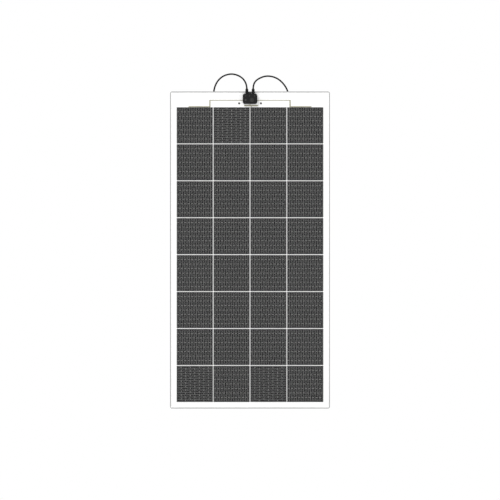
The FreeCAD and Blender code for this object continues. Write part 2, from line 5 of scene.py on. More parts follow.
import bmesh
import bpy
from bpy.props import FloatProperty, FloatVectorProperty, IntProperty, PointerProperty
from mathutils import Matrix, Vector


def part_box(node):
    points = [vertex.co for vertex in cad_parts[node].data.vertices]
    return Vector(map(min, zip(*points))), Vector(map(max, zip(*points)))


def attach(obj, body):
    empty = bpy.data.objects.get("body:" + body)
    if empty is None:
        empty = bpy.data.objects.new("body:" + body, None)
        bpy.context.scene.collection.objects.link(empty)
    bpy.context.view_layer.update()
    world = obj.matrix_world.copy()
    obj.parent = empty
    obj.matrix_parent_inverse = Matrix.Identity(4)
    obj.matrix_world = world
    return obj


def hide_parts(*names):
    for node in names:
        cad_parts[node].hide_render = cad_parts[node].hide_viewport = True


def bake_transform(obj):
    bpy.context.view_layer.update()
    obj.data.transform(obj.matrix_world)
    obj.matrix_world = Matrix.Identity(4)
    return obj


bl_info = {
    "name": "Flexible Solar Sheet",
    "version": (1, 0, 0),
    "blender": (4, 5, 0),
    "location": "View3D > Sidebar > Solar Sheet",
    "description": "Builds the visible pieces of a flexible solar sheet around its packed frame",
    "category": "Add Mesh",
}

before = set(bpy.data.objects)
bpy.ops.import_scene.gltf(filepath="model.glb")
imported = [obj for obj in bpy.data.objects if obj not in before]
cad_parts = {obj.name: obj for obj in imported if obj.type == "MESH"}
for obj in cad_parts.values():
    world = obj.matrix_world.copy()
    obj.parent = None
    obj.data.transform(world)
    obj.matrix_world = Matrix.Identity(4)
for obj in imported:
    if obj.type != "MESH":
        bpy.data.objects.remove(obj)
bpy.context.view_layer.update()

MM = 0.001
ROWS = 8
COLUMNS = 4
TURNED_CELLS = ((1, 2), (8, 1), (8, 3))     # row and column of the cells whose net lies on its side

TOLERANCE = 0.01 * MM                       # how far two places may differ and still count as one
TAB_STEP = 0.04 * MM                        # how far the tabs' front lies behind the wires' front
RAISED_MARK = 0.15 * MM                     # height of the plus and the minus on their discs
QUARTER_TURN = math.radians(90)
SMOOTH_BELOW = math.radians(40)             # edges flatter than this are shaded smooth

# The studio, in metres and degrees.
CAMERA_DISTANCE = 4
CAMERA_REACH = 20
SUN_ENERGY = 1.1
SUN_SPREAD = 12
SUN_TILT = 52
SUN_TURN = -28
FLOOR_RADIUS = 3.2
FLOOR_GAP = 0.5 * MM

# The sockets of a colour Mix node, which carry the same name for every kind of data.
MIX_FACTOR, MIX_FIRST, MIX_SECOND, MIX_RESULT = 0, 6, 7, 2

# The lid's moulded marks, painted paler as highlights, in metres: X, distance below the lid's top edge, outer
# and inner radius.
LID_TOP = 0.6733
NO_HOLE = -1.0
LID_MARK_HIGHLIGHTS = (
    (-0.0190, 0.0100, 0.0022, NO_HOLE), (-0.0026, 0.0100, 0.0022, NO_HOLE), (0.0200, 0.0100, 0.0022, NO_HOLE),
    (-0.0190, 0.0273, 0.0040, NO_HOLE), (0.0080, 0.0273, 0.0080, 0.0064), (0.0080, 0.0273, 0.0030, NO_HOLE))

# The leads: their lengths in metres from the gland's mouth to the connector, and the control points of
# the one smooth curve that each of them follows from inside its gland.
LEFT_LENGTH = 0.3616
RIGHT_LENGTH = 0.3561
LEFT_LEAD = ((-0.0136, -0.0095, 0.6902), (-0.0136, -0.0095, 0.7090), (-0.0270, -0.0082, 0.7360),
             (-0.0520, -0.0048, 0.7530), (-0.0820, -0.0002, 0.7590), (-0.1130, 0.0046, 0.7510),
             (-0.1370, 0.0090, 0.7320), (-0.1520, 0.0120, 0.7040), (-0.1575, 0.0135, 0.6720),
             (-0.1585, 0.0140, 0.6380), (-0.1560, 0.0140, 0.6030), (-0.1510, 0.0140, 0.5690),
             (-0.1510, 0.0140, 0.5420))
RIGHT_LEAD = ((0.0136, -0.0095, 0.6902), (0.0136, -0.0095, 0.7090), (0.0245, -0.0082, 0.7295),
              (0.0500, -0.0048, 0.7445), (0.0770, -0.0002, 0.7500), (0.1080, 0.0046, 0.7440),
              (0.1340, 0.0090, 0.7275), (0.1575, 0.0120, 0.6980), (0.1660, 0.0135, 0.6680),
              (0.1710, 0.0140, 0.6340), (0.1725, 0.0140, 0.5990), (0.1700, 0.0140, 0.5650),
              (0.1700, 0.0140, 0.5380))


# ---------------------------------------------------------------- places taken from the frame
def layout():
    """The sheet's own measures in metres, worked out from the frame's nodes."""
    cells_low, cells_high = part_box("cells_row_1")
    top_low, top_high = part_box("front_film_1")
    wires_low, wires_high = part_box("wires_row_2")
    back_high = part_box("backsheet_1")[1]
    cell = cells_high.z - cells_low.z
    return {
        "cell": cell,
        "left": cells_low.x,
        "column_pitch": cell + (cells_high.x - cells_low.x - COLUMNS * cell) / (COLUMNS - 1),
        "row_pitch": cells_high.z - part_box("cells_row_2")[1].z,
        "cells_top": cells_high.z,
        "half_width": top_high.x,
        "top": top_high.z,
        "bottom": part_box(f"front_film_{ROWS}")[0].z,
        "rear": back_high.y,
        "cell_rear": cells_high.y,
        "wire_rear": wires_high.y,
        "wire_front": wires_low.y,
        "front": top_low.y,
        "rim": top_high.z - back_high.z,
    }


def cell_top(place, row):
    """Height of the top edge of a row of cells, counted from 1 at the top."""
    return place["cells_top"] - (row - 1) * place["row_pitch"]


# ---------------------------------------------------------------- settings
class SheetSizes(bpy.types.PropertyGroup):
    """Sizes of the visible pieces."""
    wire_count: IntProperty(
        name="Wires", description="Collector wires on one cell",
        default=21, min=2)
    wire_pitch: FloatProperty(
        name="Wire Pitch", description="Distance between wires",
        default=0.0075, unit="LENGTH")
    wire_width: FloatProperty(
        name="Wire Width", description="Width of one wire",
        default=0.0005, unit="LENGTH")
    rung_rows: IntProperty(
        name="Rung Rows", description="Rows of short rungs across one cell",
        default=7, min=1)
    rung_width: FloatProperty(
        name="Rung Width", description="Width of one rung",
        default=0.0010, unit="LENGTH")
    tab_width: FloatProperty(
        name="Tab Width", description="Width of a wire's tab in the gap",
        default=0.0012, unit="LENGTH")
    tab_slit: FloatProperty(
        name="Tab Slit", description="Slit between two rows' tabs at the bending line",
        default=0.0001, unit="LENGTH")
    tab_reach: FloatProperty(
        name="Tab Reach", description="How far a tab reaches over its cell",
        default=0.001, unit="LENGTH")
    corner: FloatProperty(
        name="Corner", description="Radius of the sheet's corners",
        default=0.008, unit="LENGTH")
    corner_steps: IntProperty(
        name="Corner Steps", description="Segments in a rounded corner",
        default=8, min=1)
    bend_steps: IntProperty(
        name="Bend Steps", description="Edge loops across one bending gap",
        default=8, min=1)
    layer_gap: FloatProperty(
        name="Layer Gap", description="Space between the backsheet and the clear layer",
        default=0.00005, unit="LENGTH")
    lead_diameter: FloatProperty(
        name="Lead Diameter", description="Diameter of a lead's jacket",
        default=0.007, unit="LENGTH")
    core_radius: FloatProperty(
        name="Core Radius", description="Radius of a lead's inner core",
        default=0.002, unit="LENGTH")
    copper_radius: FloatProperty(
        name="Copper Radius", description="Radius of a lead's bare copper end",
        default=0.0014, unit="LENGTH")
    bare_length: FloatProperty(
        name="Bare Length", description="Length of a lead's bare copper end",
        default=0.0025, unit="LENGTH")
    screw_radius: FloatProperty(
        name="Screw Radius", description="Radius of a clamp screw's head",
        default=0.0024, unit="LENGTH")
    screw_height: FloatProperty(
        name="Screw Height", description="Height of a clamp screw's head",
        default=0.0008, unit="LENGTH")
    screw_slot: FloatProperty(
        name="Screw Slot", description="Width of the slot in a screw's head",
        default=0.0008, unit="LENGTH")
    frame_height: FloatProperty(
        name="View Height", description="Height that the camera takes in",
        default=2.1525, unit="LENGTH")


class SheetColours(bpy.types.PropertyGroup):
    """Colours of the finishes."""
    # The rear's off-white is the backsheet white darkened as painted shade, so the rear face is not blown out
    # under the white surround.
    rear: FloatVectorProperty(
        name="Rear", description="Off-white of the reinforced rear face",
        subtype="COLOR", size=3, default=(0.72, 0.72, 0.71))
    backsheet: FloatVectorProperty(
        name="Backsheet", description="White of the backsheet",
        subtype="COLOR", size=3, default=(0.94, 0.94, 0.935))
    # The rim's grey is partly the sealed rim's own tone and partly painted shadow: the band is darkened to
    # stand in for the shadow line around the sheet.
    rim: FloatVectorProperty(
        name="Rim", description="Grey of the sealed rim",
        subtype="COLOR", size=3, default=(0.37, 0.37, 0.37))
    cell: FloatVectorProperty(
        name="Cell", description="Dark grey of the silicon",
        subtype="COLOR", size=3, default=(0.011, 0.011, 0.0115))
    wire: FloatVectorProperty(
        name="Wire", description="Tinned collector wire",
        subtype="COLOR", size=3, default=(0.38, 0.38, 0.37))
    ribbon: FloatVectorProperty(
        name="Ribbon", description="Tinned copper ribbon",
        subtype="COLOR", size=3, default=(0.30, 0.285, 0.19))
    plastic: FloatVectorProperty(
        name="Plastic", description="Black moulded plastic",
        subtype="COLOR", size=3, default=(0.0055, 0.0055, 0.0055))
    jacket: FloatVectorProperty(
        name="Jacket", description="Black lead jacket",
        subtype="COLOR", size=3, default=(0.005, 0.005, 0.0055))
    floor: FloatVectorProperty(
        name="Floor", description="Pale studio floor",
        subtype="COLOR", size=3, default=(0.86, 0.86, 0.86))


# ---------------------------------------------------------------- modelling helpers
def clear_selection():
    """Leave edit mode and select nothing."""
    if bpy.context.object and bpy.context.object.mode != "OBJECT":
        bpy.ops.object.mode_set(mode="OBJECT")
    bpy.ops.object.select_all(action="DESELECT")


def make_active(piece):
    """Select one piece and make it the active one."""
    clear_selection()
    piece.select_set(True)
    bpy.context.view_layer.objects.active = piece


def block(name, low, high):
    """A box between two corners, with its place in its mesh."""
    clear_selection()
    centre = [(a + b) / 2 for a, b in zip(low, high)]
    size = [abs(b - a) for a, b in zip(low, high)]
    bpy.ops.mesh.primitive_cube_add(size=1, location=centre, scale=size)
    bpy.ops.object.transform_apply(location=True, rotation=True, scale=True)
    piece = bpy.context.object
    piece.name = name
    return piece


def select_edges(piece, test):
    """Enter edit mode with only the edges that pass the test selected."""
    make_active(piece)
    bpy.ops.object.mode_set(mode="EDIT")
    bpy.ops.mesh.select_mode(type="EDGE")
    bpy.ops.mesh.select_all(action="DESELECT")
    mesh = bmesh.from_edit_mesh(piece.data)
    for edge in mesh.edges:
        edge.select_set(test(edge.verts[0].co, edge.verts[1].co))
    bmesh.update_edit_mesh(piece.data)


def leave_edit():
    """Go back to object mode, which writes the edits into the mesh."""
    bpy.ops.object.mode_set(mode="OBJECT")


def cut_through(piece, point, normal):
    """Cut edges all through a piece along a plane."""
    make_active(piece)
    bpy.ops.object.mode_set(mode="EDIT")
    bpy.ops.mesh.select_all(action="SELECT")
    bpy.ops.mesh.bisect(plane_co=point, plane_no=normal)
    leave_edit()


def repeat(piece, count, offset):
    """Repeat a piece along an offset with an applied Array."""
    if count < 2:
        return
    make_active(piece)
    array = piece.modifiers.new("Repeat", "ARRAY")
    array.count = count
    array.use_relative_offset = False
    array.use_constant_offset = True
    array.constant_offset_displace = offset
    bpy.ops.object.modifier_apply(modifier=array.name)


def join_pieces(pieces, name):
    """Join pieces into the first one and name it."""
    make_active(pieces[0])
    for piece in pieces:
        piece.select_set(True)
    if len(pieces) > 1:
        bpy.ops.object.join()
    joined = bpy.context.object
    joined.name = name
    return joined


def copy_piece(piece, name, turn=0.0, shift=(0, 0, 0)):
    """A copy with its own mesh, turned about Y at the origin, then moved."""
    clear_selection()
    other = piece.copy()
    other.data = piece.data.copy()
    bpy.context.scene.collection.objects.link(other)
    other.name = name
    other.rotation_euler = (0, turn, 0)
    other.location = shift
    make_active(other)
    bpy.ops.object.transform_apply(location=True, rotation=True, scale=True)
    return other


def flat_uv(piece):
    """Give a sheet piece a UV map that holds its own X and Z in metres, so its pattern bends with it."""
    layer = piece.data.uv_layers.get("Sheet") or piece.data.uv_layers.new(name="Sheet")
    for loop in piece.data.loops:
        co = piece.data.vertices[loop.vertex_index].co
        layer.data[loop.index].uv = (co.x, co.z)
    piece.data.uv_layers.active = layer


def smooth(piece):
    """Shade a piece smooth, but for its sharp edges."""
    make_active(piece)
    bpy.ops.object.shade_smooth_by_angle(angle=SMOOTH_BELOW)


def dress(piece, material):
    """Give a piece one material in place of those it has."""
    piece.data.materials.clear()
    piece.data.materials.append(material)


# ---------------------------------------------------------------- material helpers
class Finish:
    """A node material with a few short ways to add the patterns that all finishes share."""

    def __init__(self, name, roughness=0.5, metallic=0.0):
        self.material = bpy.data.materials.new(name)
        self.material.use_nodes = True
        self.tree = self.material.node_tree
        self.shader = self.tree.nodes["Principled BSDF"]
        self.shader.inputs["Metallic"].default_value = metallic
        self.shader.inputs["Roughness"].default_value = roughness
        self.coordinates = self.tree.nodes.new("ShaderNodeTexCoord").outputs["Object"]

    def add(self, kind, **values):
        """A new node with some of its values set."""
        node = self.tree.nodes.new(kind)
        for key, value in values.items():
            setattr(node, key, value)
        return node

    def link(self, output, socket):
        """Join an output to a socket."""
        self.tree.links.new(output, socket)

    def follow_sheet(self):
        """Read the piece's own flat UV map in place of Object coordinates."""
        self.coordinates = self.add("ShaderNodeUVMap", uv_map="Sheet").outputs["UV"]

    def noise(self, scale, detail=3.0, roughness=0.5, stretch=(1, 1, 1)):
        """Noise over the piece, stretched along the axes with a small factor."""
        mapping = self.add("ShaderNodeMapping")
        mapping.inputs["Scale"].default_value = stretch
        self.link(self.coordinates, mapping.inputs["Vector"])
        texture = self.add("ShaderNodeTexNoise")
        texture.inputs["Scale"].default_value = scale
        texture.inputs["Detail"].default_value = detail
        texture.inputs["Roughness"].default_value = roughness
        self.link(mapping.outputs["Vector"], texture.inputs["Vector"])
        return texture.outputs["Fac"]

    def math(self, operation, first, second=0.0):
        """The result of one sum on outputs or numbers."""
        node = self.add("ShaderNodeMath", operation=operation)
        for socket, value in zip(node.inputs, (first, second)):
            if isinstance(value, (int, float)):
                socket.default_value = value
            else:
                self.link(value, socket)
        return node.outputs["Value"]

    def mix(self, factor, first, second):
        """A blend of two colours or outputs."""
        node = self.add("ShaderNodeMix", data_type="RGBA")
        for index, value in ((MIX_FACTOR, factor), (MIX_FIRST, first), (MIX_SECOND, second)):
            socket = node.inputs[index]
            if isinstance(value, (int, float)):
                socket.default_value = value
            elif isinstance(value, tuple):
                socket.default_value = (*value[:3], 1.0)
            else:
                self.link(value, socket)
        return node.outputs[MIX_RESULT]

    def colour(self, output):
        """Use an output as the base colour."""
        self.link(output, self.shader.inputs["Base Color"])

    def vary_roughness(self, output, low, high):
        """Let a noise output move the roughness between two values."""
        spread = self.add("ShaderNodeMapRange")
        spread.inputs["From Min"].default_value = 0.3
        spread.inputs["From Max"].default_value = 0.7
        spread.inputs["To Min"].default_value = low
        spread.inputs["To Max"].default_value = high
        self.link(output, spread.inputs["Value"])
        self.link(spread.outputs["Result"], self.shader.inputs["Roughness"])

    def bump(self, output, strength, distance):
        """Use an output as fine relief of a depth in metres."""
        node = self.add("ShaderNodeBump")
        node.inputs["Strength"].default_value = strength
        node.inputs["Distance"].default_value = distance
        self.link(output, node.inputs["Height"])
        self.link(node.outputs["Normal"], self.shader.inputs["Normal"])


def shade_of(colour, factor):
    """A colour made darker or lighter by a factor."""
    return tuple(min(1.0, c * factor) for c in colour)


def backsheet_finish(name, white):
    """White laminate with a fine glass weave."""
    finish = Finish(name, roughness=0.5)
    finish.follow_sheet()
    blotch = finish.noise(scale=9.0, detail=4.0)
    finish.colour(finish.mix(blotch, shade_of(white, 0.985), shade_of(white, 1.0)))
    weave_x = finish.add("ShaderNodeTexWave", wave_type="BANDS", bands_direction="X")
    weave_y = finish.add("ShaderNodeTexWave", wave_type="BANDS", bands_direction="Y")
    for weave in (weave_x, weave_y):
        weave.inputs["Scale"].default_value = 180.0
        weave.inputs["Distortion"].default_value = 0.6
        finish.link(finish.coordinates, weave.inputs["Vector"])
    height = finish.math("MULTIPLY", weave_x.outputs["Fac"], weave_y.outputs["Fac"])
    finish.bump(height, strength=0.25, distance=0.1 * MM)
    finish.vary_roughness(finish.noise(scale=60.0), low=0.42, high=0.55)
    return finish.material


def film_finish(name, colour, cover):
    """Clear embossed front film; cover is how much it hides."""
    finish = Finish(name, roughness=0.22)
    finish.follow_sheet()
    finish.shader.inputs["Alpha"].default_value = cover
    finish.shader.inputs["IOR"].default_value = 1.42
    blotch = finish.noise(scale=25.0)
    finish.colour(finish.mix(blotch, shade_of(colour, 0.97), shade_of(colour, 1.03)))
    finish.vary_roughness(finish.noise(scale=40.0), low=0.18, high=0.3)
    dimples = finish.add("ShaderNodeTexVoronoi", feature="SMOOTH_F1")
    dimples.inputs["Scale"].default_value = 650.0
    finish.link(finish.coordinates, dimples.inputs["Vector"])
    finish.bump(dimples.outputs["Distance"], strength=0.35, distance=0.2 * MM)
    finish.material.surface_render_method = "BLENDED"
    return finish.material


def cell_finish(colours, place):
    """Dark textured silicon, each cell a slightly different grey."""
    finish = Finish("dark_silicon", roughness=0.32)
    grey = tuple(colours.cell)
    axes = finish.add("ShaderNodeSeparateXYZ")
    finish.link(finish.coordinates, axes.inputs["Vector"])
    across = finish.math("SUBTRACT", axes.outputs["X"], place["left"])
    column = finish.math("FLOOR", finish.math("DIVIDE", across, place["column_pitch"]))
    down = finish.math("SUBTRACT", place["cells_top"], axes.outputs["Z"])
    row = finish.math("FLOOR", finish.math("DIVIDE", down, place["row_pitch"]))
    index = finish.add("ShaderNodeCombineXYZ")
    finish.link(column, index.inputs["X"])
    finish.link(row, index.inputs["Y"])
    lot = finish.add("ShaderNodeTexWhiteNoise", noise_dimensions="3D")
    finish.link(index.outputs["Vector"], lot.inputs["Vector"])
    by_cell = finish.mix(lot.outputs["Value"], shade_of(grey, 0.9), shade_of(grey, 1.12))
    grain = finish.noise(scale=1500.0, detail=2.0, roughness=0.7)
    cloud = finish.noise(scale=14.0)
    grain_share = finish.math("MULTIPLY", grain, 0.35)
    cloud_share = finish.math("MULTIPLY", cloud, 0.25)
    speckled = finish.mix(grain_share, by_cell, shade_of(grey, 1.7))
    finish.colour(finish.mix(cloud_share, speckled, shade_of(grey, 0.6)))
    finish.shader.inputs["Specular IOR Level"].default_value = 0.15
    finish.vary_roughness(cloud, low=0.28, high=0.4)
    finish.bump(grain, strength=0.2, distance=0.05 * MM)
    return finish.material


def lid_finish(colour, pale):
    """The housing plastic, with the lid's moulded marks a little paler where they catch the light."""
    finish = Finish("lid_plastic", roughness=0.45)
    finish.shader.inputs["Specular IOR Level"].default_value = 0.2
    cloud = finish.noise(scale=35.0)
    tone = finish.mix(cloud, shade_of(colour, 0.8), shade_of(colour, 1.5))
    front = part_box("box_lid")[0].y
    for x, drop, outer, inner in LID_MARK_HIGHLIGHTS:
        offset = finish.add("ShaderNodeVectorMath", operation="SUBTRACT")
        offset.inputs[1].default_value = (x, front, LID_TOP - drop)
        finish.link(finish.coordinates, offset.inputs[0])
        squash = finish.add("ShaderNodeVectorMath", operation="MULTIPLY")
        squash.inputs[1].default_value = (1, 0, 1)
        finish.link(offset.outputs["Vector"], squash.inputs[0])
        reach = finish.add("ShaderNodeVectorMath", operation="LENGTH")
        finish.link(squash.outputs["Vector"], reach.inputs[0])
        inside = finish.math("MULTIPLY", finish.math("LESS_THAN", reach.outputs["Value"], outer),
                             finish.math("GREATER_THAN", reach.outputs["Value"], inner))
        # Painted highlight: each mark takes the pale grey.
        tone = finish.mix(inside, tone, pale)
    finish.colour(tone)
    finish.vary_roughness(cloud, low=0.4, high=0.52)
    finish.bump(finish.noise(scale=1400.0, detail=2.0, roughness=0.6), strength=0.3, distance=0.06 * MM)
    return finish.material


def disc_finish(colour, pale):
    """Black disc plastic whose raised plus or minus is paler."""
    finish = Finish("disc_plastic", roughness=0.5)
    finish.shader.inputs["Specular IOR Level"].default_value = 0.2
    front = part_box("polarity_discs")[0].y
    axes = finish.add("ShaderNodeSeparateXYZ")
    finish.link(finish.coordinates, axes.inputs["Vector"])
    raised = finish.math("LESS_THAN", axes.outputs["Y"], front + RAISED_MARK)
    tone = finish.mix(finish.noise(scale=300.0), shade_of(colour, 0.8), shade_of(colour, 1.3))
    finish.colour(finish.mix(raised, tone, pale))
    finish.bump(finish.noise(scale=1200.0, detail=2.0), strength=0.3, distance=0.05 * MM)
    return finish.material


def metal_finish(name, colour, roughness, metallic, streak):
    """Tinned or plated metal with drawn streaks."""
    finish = Finish(name, roughness=roughness, metallic=metallic)
    drawn = finish.noise(scale=220.0, roughness=0.6, stretch=streak)
    finish.colour(finish.mix(drawn, shade_of(colour, 0.82), shade_of(colour, 1.15)))
    finish.vary_roughness(drawn, low=roughness * 0.8, high=roughness * 1.25)
    finish.bump(drawn, strength=0.15, distance=0.03 * MM)
    return finish.material


def moulded_finish(name, colour, roughness, grain_scale, depth, shine=0.15):
    """Black moulded plastic or rubber with a fine spark-eroded grain."""
    finish = Finish(name, roughness=roughness)
    finish.shader.inputs["Specular IOR Level"].default_value = shine
    cloud = finish.noise(scale=35.0)
    finish.colour(finish.mix(cloud, shade_of(colour, 0.8), shade_of(colour, 1.5)))
    finish.vary_roughness(cloud, low=roughness * 0.88, high=roughness * 1.15)
    grain = finish.noise(scale=grain_scale, detail=2.0, roughness=0.6)
    finish.bump(grain, strength=0.3, distance=depth)
    return finish.material


# ---------------------------------------------------------------- operators
class SOLAR_OT_stage(bpy.types.Operator):
    """Place the camera, the lights, the white surround and the pale floor"""
    bl_idname = "solar_sheet.stage"
    bl_label = "Studio"

    def execute(self, context):
        sizes = context.scene.solar_sizes
        colours = context.scene.solar_colours
        place = layout()
        camera_data = bpy.data.cameras.new("camera")
        camera_data.type = "ORTHO"
        camera_data.ortho_scale = sizes.frame_height
        camera_data.clip_end = CAMERA_REACH
        camera = bpy.data.objects.new("camera", camera_data)
        context.scene.collection.objects.link(camera)
        camera.location = (0, -CAMERA_DISTANCE, 0)
        camera.rotation_euler = (QUARTER_TURN, 0, 0)
        context.scene.camera = camera
        context.scene.view_settings.view_transform = "Standard"

        world = bpy.data.worlds.new("white_surround")
        world.use_nodes = True
        background = world.node_tree.nodes["Background"]
        background.inputs["Color"].default_value = (1, 1, 1, 1)
        background.inputs["Strength"].default_value = 1.0
        context.scene.world = world

        sun_data = bpy.data.lights.new("key", "SUN")
        sun_data.energy = SUN_ENERGY
        sun_data.angle = math.radians(SUN_SPREAD)
        sun = bpy.data.objects.new("key", sun_data)
        sun.rotation_euler = (math.radians(SUN_TILT), 0, math.radians(SUN_TURN))
        context.scene.collection.objects.link(sun)

        clear_selection()
        bpy.ops.mesh.primitive_circle_add(vertices=96, radius=FLOOR_RADIUS, fill_type="NGON",
                                          location=(0, 0, place["bottom"] - FLOOR_GAP))
        bpy.ops.object.transform_apply(location=True, rotation=True, scale=True)
        floor = context.object
        floor.name = "floor"
        finish = Finish("studio_floor", roughness=0.7)
        pale = tuple(colours.floor)
        finish.colour(finish.mix(finish.noise(scale=3.0), shade_of(pale, 0.98), shade_of(pale, 1.02)))
        dress(floor, finish.material)
        return {"FINISHED"}


class SOLAR_OT_leads(bpy.types.Operator):
    """Lay the two leads from their glands over the top edge to their connectors"""
    bl_idname = "solar_sheet.leads"
    bl_label = "Leads"

    def stripped_end(self, name, start, sleeve_end, sizes):
        """The core without its jacket, down from a lead's start, with a bare copper end on its clamp."""
        x, y, top = start
        clear_selection()
        bpy.ops.mesh.primitive_cylinder_add(vertices=32, radius=sizes.core_radius, depth=top - sleeve_end,
                                            location=(x, y, (top + sleeve_end) / 2))
        bpy.ops.object.transform_apply(location=True, rotation=True, scale=True)
        piece = bpy.context.object
        piece.name = name
        bpy.ops.object.mode_set(mode="EDIT")
        bpy.ops.mesh.select_mode(type="FACE")
        bpy.ops.mesh.select_all(action="DESELECT")
        mesh = bmesh.from_edit_mesh(piece.data)
        for face in mesh.faces:
            face.select_set(face.calc_center_median().z < sleeve_end + TOLERANCE)
        bmesh.update_edit_mesh(piece.data)
        bpy.ops.mesh.inset(thickness=sizes.core_radius - sizes.copper_radius)
        bpy.ops.mesh.extrude_region_move(TRANSFORM_OT_translate={"value": (0, 0, -sizes.bare_length)})
        leave_edit()
        smooth(piece)
        return piece

    def execute(self, context):
        sizes = context.scene.solar_sizes
        colours = context.scene.solar_colours
        jacket = moulded_finish("lead_jacket", tuple(colours.jacket), roughness=0.42, grain_scale=900.0,
                                depth=0.04 * MM, shine=0.12)
        core = moulded_finish("lead_core", (0.02, 0.02, 0.02), roughness=0.45, grain_scale=900.0,
                              depth=0.03 * MM)
        copper = metal_finish("bare_copper", (0.72, 0.36, 0.2), roughness=0.35, metallic=1.0,
                              streak=(1, 1, 0.1))
        sleeve_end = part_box("terminal_clamps")[1].z + sizes.bare_length
        leads = (("left", LEFT_LEAD, LEFT_LENGTH, ("pin_housing", "contact_pin")),
                 ("right", RIGHT_LEAD, RIGHT_LENGTH, ("socket_housing", "contact_sleeve")))
        for side, route, length, fittings in leads:
            data = bpy.data.curves.new(f"lead_{side}", "CURVE")
            data.dimensions = "3D"
            spline = data.splines.new("NURBS")
            spline.points.add(len(route) - 1)
            for point, spot in zip(spline.points, route):
                point.co = (*spot, 1.0)
            spline.order_u = 3
            spline.use_endpoint_u = True
            spline.resolution_u = 16
            data.bevel_depth = sizes.lead_diameter / 2
            data.bevel_resolution = 6
            data.use_fill_caps = True
            lead = bpy.data.objects.new(f"lead_{side}", data)
            context.scene.collection.objects.link(lead)
            dress(lead, jacket)
            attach(lead, "strip_1")
            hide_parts(f"cable_{side}")

            stripped = self.stripped_end(f"lead_core_{side}", route[0], sleeve_end, sizes)
            dress(stripped, core)
            stripped.data.materials.append(copper)
            for face in stripped.data.polygons:
                if face.center.z < sleeve_end - TOLERANCE:
                    face.material_index = 1
            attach(stripped, "strip_1")
        return {"FINISHED"}


class SOLAR_OT_laminate(bpy.types.Operator):
    """Make the white backsheet and the clear front film in lengths, with edge loops across the gaps between
    rows
    """
    bl_idname = "solar_sheet.laminate"
    bl_label = "Laminate"

    def sheet_length(self, name, number, rear, front, inset, place, sizes):
        """One length of a layer, from the middle of one row to the middle of the next."""
        half_cell = place["cell"] / 2
        high = place["top"] - inset if number == 1 else cell_top(place, number) - half_cell
        low = place["bottom"] + inset if number == ROWS - 1 else cell_top(place, number + 1) - half_cell
        side = place["half_width"] - inset
        piece = block(name, (-side, front, low), (side, rear, high))
        if number in (1, ROWS - 1):
            end = high if number == 1 else low
            select_edges(piece, lambda a, b: max(abs(a.z - end), abs(b.z - end), abs(a.x - b.x)) < TOLERANCE)
            bpy.ops.mesh.bevel(offset=sizes.corner - inset, segments=sizes.corner_steps, affect="EDGES")
            leave_edit()
        gap_high = cell_top(place, number) - place["cell"]
        gap_low = cell_top(place, number + 1)
        for step in range(sizes.bend_steps + 1):
            cut_through(piece, (0, 0, gap_high + (gap_low - gap_high) * step / sizes.bend_steps), (0, 0, 1))
        return piece

    def mark_rim(self, piece, number, material, place):
        """Cut the rim off the film's faces and give it its own material, whose grey is partly painted shadow
        along the sheet's edges.
        """
        side = place["half_width"] - place["rim"]
        top = place["top"] - place["rim"] if number == 1 else math.inf
        bottom = place["bottom"] + place["rim"] if number == ROWS - 1 else -math.inf
        for x in (-side, side):
            cut_through(piece, (x, 0, 0), (1, 0, 0))
        for z in (top, bottom):
            if math.isfinite(z):
                cut_through(piece, (0, 0, z), (0, 0, 1))
        piece.data.materials.append(material)
        for face in piece.data.polygons:
            if abs(face.center.x) > side or not bottom < face.center.z < top:
                face.material_index = 1

    def bend(self, piece, number, place):
        """Give a length its flat UV map and bake its transform into its mesh."""
        flat_uv(piece)
        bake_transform(piece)

    def execute(self, context):
        sizes = context.scene.solar_sizes
        colours = context.scene.solar_colours
        place = layout()
        white = backsheet_finish("white_backsheet", tuple(colours.backsheet))
        # The rear face gets a darker copy of the backsheet finish as painted shade.
        rear = backsheet_finish("rear_painted_shade", tuple(colours.rear))
        clear = film_finish("clear_film", (0.5, 0.5, 0.5), cover=0.02)
        # The sealed rim is partly painted shadow: its grey darkens the sheet's edges like a shadow line.
        rim = film_finish("sealed_rim_painted_edge_shadow", tuple(colours.rim), cover=0.9)
        for number in range(1, ROWS):
            nodes = [number] if number < ROWS - 1 else [number, ROWS]
            backsheet = self.sheet_length(f"backsheet_length_{number}", number, place["rear"],
                                          place["cell_rear"] + sizes.layer_gap, place["rim"], place, sizes)
            dress(backsheet, white)
            backsheet.data.materials.append(rear)
            for face in backsheet.data.polygons:
                if face.center.y > place["rear"] - TOLERANCE:
                    face.material_index = 1
            self.bend(backsheet, number, place)
            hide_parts(*[f"backsheet_{n}" for n in nodes])
            film = self.sheet_length(f"front_film_length_{number}", number, place["cell_rear"],
                                     place["front"], 0.0, place, sizes)
            dress(film, clear)
            self.mark_rim(film, number, rim, place)
            self.bend(film, number, place)
            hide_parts(*[f"front_film_{n}" for n in nodes], *[f"encapsulant_{n}" for n in nodes])
        return {"FINISHED"}


